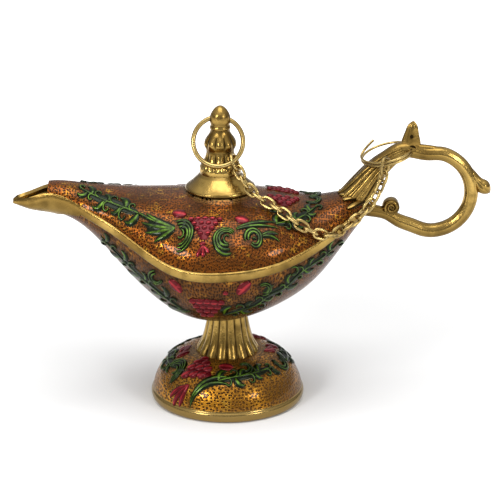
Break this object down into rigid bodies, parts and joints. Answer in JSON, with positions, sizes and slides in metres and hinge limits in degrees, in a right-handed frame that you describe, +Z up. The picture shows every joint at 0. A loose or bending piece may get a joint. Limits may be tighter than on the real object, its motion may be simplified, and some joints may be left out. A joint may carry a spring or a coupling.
{
  "type": "genie oil lamp",
  "caption": "Boat-shaped enamelled oil lamp on a fluted stem and domed foot, with a scrolled ring handle and a lift-off lid tethered by a fine link chain.",
  "frame": {"origin": "centre of the foot's underside", "axes": "+Z up, +X towards the handle, spout towards -X, +Y to the far side in the picture"},
  "size_m": [0.1262, 0.049, 0.0814],
  "materials": {
    "enamel": "glossy amber glass enamel over stippled brass, with raised green scrolls and pink flowers",
    "brass": "cast brass, polished on the high parts and dark in the recesses",
    "brass_wire": "drawn brass wire, slightly dulled"
  },
  "bodies": {
    "lamp": {"foot": "enamel", "stem": "brass", "bowl": "enamel", "rim_band": "brass", "upper_shell": "enamel", "handle": "brass"},
    "lid": {"lid_cap": "brass", "lid_finial": "brass"},
    "lid ring": {"lid_ring": "brass_wire"},
    "split ring": {"handle_ring": "brass_wire"},
    "link 01": {"chain_link_01": "brass_wire"},
    "link 02": {"chain_link_02": "brass_wire"},
    "link 03": {"chain_link_03": "brass_wire"},
    "link 04": {"chain_link_04": "brass_wire"},
    "link 05": {"chain_link_05": "brass_wire"},
    "link 06": {"chain_link_06": "brass_wire"},
    "link 07": {"chain_link_07": "brass_wire"},
    "link 08": {"chain_link_08": "brass_wire"},
    "link 09": {"chain_link_09": "brass_wire"},
    "link 10": {"chain_link_10": "brass_wire"},
    "link 11": {"chain_link_11": "brass_wire"},
    "link 12": {"chain_link_12": "brass_wire"},
    "link 13": {"chain_link_13": "brass_wire"},
    "link 14": {"chain_link_14": "brass_wire"},
    "link 15": {"chain_link_15": "brass_wire"},
    "link 16": {"chain_link_16": "brass_wire"},
    "link 17": {"chain_link_17": "brass_wire"},
    "link 18": {"chain_link_18": "brass_wire"},
    "link 19": {"chain_link_19": "brass_wire"},
    "link 20": {"chain_link_20": "brass_wire"},
    "link 21": {"chain_link_21": "brass_wire"},
    "link 22": {"chain_link_22": "brass_wire"}
  },
  "joints": [
    {"name": "lid_lift", "type": "slide", "parent": "lamp", "child": "lid", "axis": [0, 0, 1], "range_m": [0, 0.01]},
    {"name": "lid_ring_swing", "type": "hinge", "parent": "lid", "child": "lid ring", "pos_m": [-0.0017, 0, 0.0782], "axis": [1, 0, 0], "range_deg": [-3.6, 3]},
    {"name": "split_ring_swing", "type": "hinge", "parent": "lamp", "child": "split ring", "pos_m": [0.0485, 0, 0.0699], "axis": [0, 1, 0], "range_deg": [-3, 4.67]},
    {"name": "link_01_rise", "type": "slide", "parent": "lamp", "child": "link 01", "axis": [0, 0, 1], "range_m": [-0.001, 0.011]},
    {"name": "link_02_rise", "type": "slide", "parent": "lamp", "child": "link 02", "axis": [0, 0, 1], "range_m": [-0.001, 0.011]},
    {"name": "link_03_rise", "type": "slide", "parent": "lamp", "child": "link 03", "axis": [0, 0, 1], "range_m": [-0.001, 0.011]},
    {"name": "link_04_swing", "type": "hinge", "parent": "lamp", "child": "link 04", "pos_m": [0.16628, -0.00867, 0.0658], "axis": [0, 1, 0], "range_deg": [-3, 6.56]},
    {"name": "link_05_swing", "type": "hinge", "parent": "lamp", "child": "link 05", "pos_m": [0.09483, -0.0096, 0.06494], "axis": [0, 1, 0], "range_deg": [-3, 9.45]},
    {"name": "link_06_swing", "type": "hinge", "parent": "lamp", "child": "link 06", "pos_m": [0.07001, -0.01077, 0.06421], "axis": [0, 1, 0], "range_deg": [-3, 12.09]},
    {"name": "link_07_swing", "type": "hinge", "parent": "lamp", "child": "link 07", "pos_m": [0.05764, -0.01222, 0.06359], "axis": [0, 1, 0], "range_deg": [-3, 14.52]},
    {"name": "link_08_swing", "type": "hinge", "parent": "lamp", "child": "link 08", "pos_m": [0.05038, -0.01363, 0.06301], "axis": [0, 1, 0], "range_deg": [-3, 16.78]},
    {"name": "link_09_swing", "type": "hinge", "parent": "lamp", "child": "link 09", "pos_m": [0.04577, -0.01466, 0.06244], "axis": [0, 1, 0], "range_deg": [-3, 18.87]},
    {"name": "link_10_swing", "type": "hinge", "parent": "lamp", "child": "link 10", "pos_m": [0.04275, -0.01508, 0.06187], "axis": [0, 1, 0], "range_deg": [-3, 20.74]},
    {"name": "link_11_swing", "type": "hinge", "parent": "lamp", "child": "link 11", "pos_m": [0.0408, -0.015, 0.06134], "axis": [0, 1, 0], "range_deg": [-3, 22.36]},
    {"name": "link_12_swing", "type": "hinge", "parent": "lamp", "child": "link 12", "pos_m": [0.03962, -0.01435, 0.06087], "axis": [0, 1, 0], "range_deg": [-3, 23.64]},
    {"name": "link_13_swing", "type": "hinge", "parent": "lamp", "child": "link 13", "pos_m": [0.039, -0.0131, 0.06055], "axis": [0, 1, 0], "range_deg": [-3, 24.49]},
    {"name": "link_14_swing", "type": "hinge", "parent": "lamp", "child": "link 14", "pos_m": [0.03877, -0.01162, 0.0604], "axis": [0, 1, 0], "range_deg": [-3, 24.9]},
    {"name": "link_15_swing", "type": "hinge", "parent": "lamp", "child": "link 15", "pos_m": [0.0388, -0.01018, 0.06043], "axis": [0, 1, 0], "range_deg": [-3, 24.81]},
    {"name": "link_16_swing", "type": "hinge", "parent": "lamp", "child": "link 16", "pos_m": [0.03907, -0.00892, 0.06068], "axis": [0, 1, 0], "range_deg": [-3, 24.07]},
    {"name": "link_17_swing", "type": "hinge", "parent": "lamp", "child": "link 17", "pos_m": [0.03957, -0.00801, 0.06124], "axis": [0, 1, 0], "range_deg": [-3, 22.34]},
    {"name": "link_18_swing", "type": "hinge", "parent": "lamp", "child": "link 18", "pos_m": [0.04028, -0.00745, 0.06219], "axis": [0, 1, 0], "range_deg": [-3, 19.4]},
    {"name": "link_19_swing", "type": "hinge", "parent": "lamp", "child": "link 19", "pos_m": [0.04117, -0.0071, 0.06359], "axis": [0, 1, 0], "range_deg": [-3, 15.41]},
    {"name": "link_20_swing", "type": "hinge", "parent": "lamp", "child": "link 20", "pos_m": [0.04223, -0.0069, 0.0654], "axis": [0, 1, 0], "range_deg": [-3, 11.19]},
    {"name": "link_21_swing", "type": "hinge", "parent": "lamp", "child": "link 21", "pos_m": [0.04374, -0.0068, 0.0675], "axis": [0, 1, 0], "range_deg": [-3, 7.67]},
    {"name": "link_22_swing", "type": "hinge", "parent": "lamp", "child": "link 22", "pos_m": [0.04607, -0.0067, 0.06938], "axis": [0, 1, 0], "range_deg": [-3, 5.53]}
  ],
  "couplings": [
    {"joint": "lid_ring_swing", "follows": "lid_lift", "rad_per_m": -1.0472},
    {"joint": "split_ring_swing", "follows": "lid_lift", "rad_per_m": 2.9089},
    {"joint": "link_01_rise", "follows": "lid_lift", "ratio": 0.9997},
    {"joint": "link_02_rise", "follows": "lid_lift", "ratio": 0.9993},
    {"joint": "link_03_rise", "follows": "lid_lift", "ratio": 0.999},
    {"joint": "link_04_swing", "follows": "lid_lift", "rad_per_m": 6.2074},
    {"joint": "link_05_swing", "follows": "lid_lift", "rad_per_m": 11.263},
    {"joint": "link_06_swing", "follows": "lid_lift", "rad_per_m": 15.863},
    {"joint": "link_07_swing", "follows": "lid_lift", "rad_per_m": 20.106},
    {"joint": "link_08_swing", "follows": "lid_lift", "rad_per_m": 24.051},
    {"joint": "link_09_swing", "follows": "lid_lift", "rad_per_m": 27.692},
    {"joint": "link_10_swing", "follows": "lid_lift", "rad_per_m": 30.971},
    {"joint": "link_11_swing", "follows": "lid_lift", "rad_per_m": 33.797},
    {"joint": "link_12_swing", "follows": "lid_lift", "rad_per_m": 36.023},
    {"joint": "link_13_swing", "follows": "lid_lift", "rad_per_m": 37.516},
    {"joint": "link_14_swing", "follows": "lid_lift", "rad_per_m": 38.226},
    {"joint": "link_15_swing", "follows": "lid_lift", "rad_per_m": 38.074},
    {"joint": "link_16_swing", "follows": "lid_lift", "rad_per_m": 36.77},
    {"joint": "link_17_swing", "follows": "lid_lift", "rad_per_m": 33.759},
    {"joint": "link_18_swing", "follows": "lid_lift", "rad_per_m": 28.615},
    {"joint": "link_19_swing", "follows": "lid_lift", "rad_per_m": 21.665},
    {"joint": "link_20_swing", "follows": "lid_lift", "rad_per_m": 14.293},
    {"joint": "link_21_swing", "follows": "lid_lift", "rad_per_m": 8.1471},
    {"joint": "link_22_swing", "follows": "lid_lift", "rad_per_m": 4.4126}
  ]
}
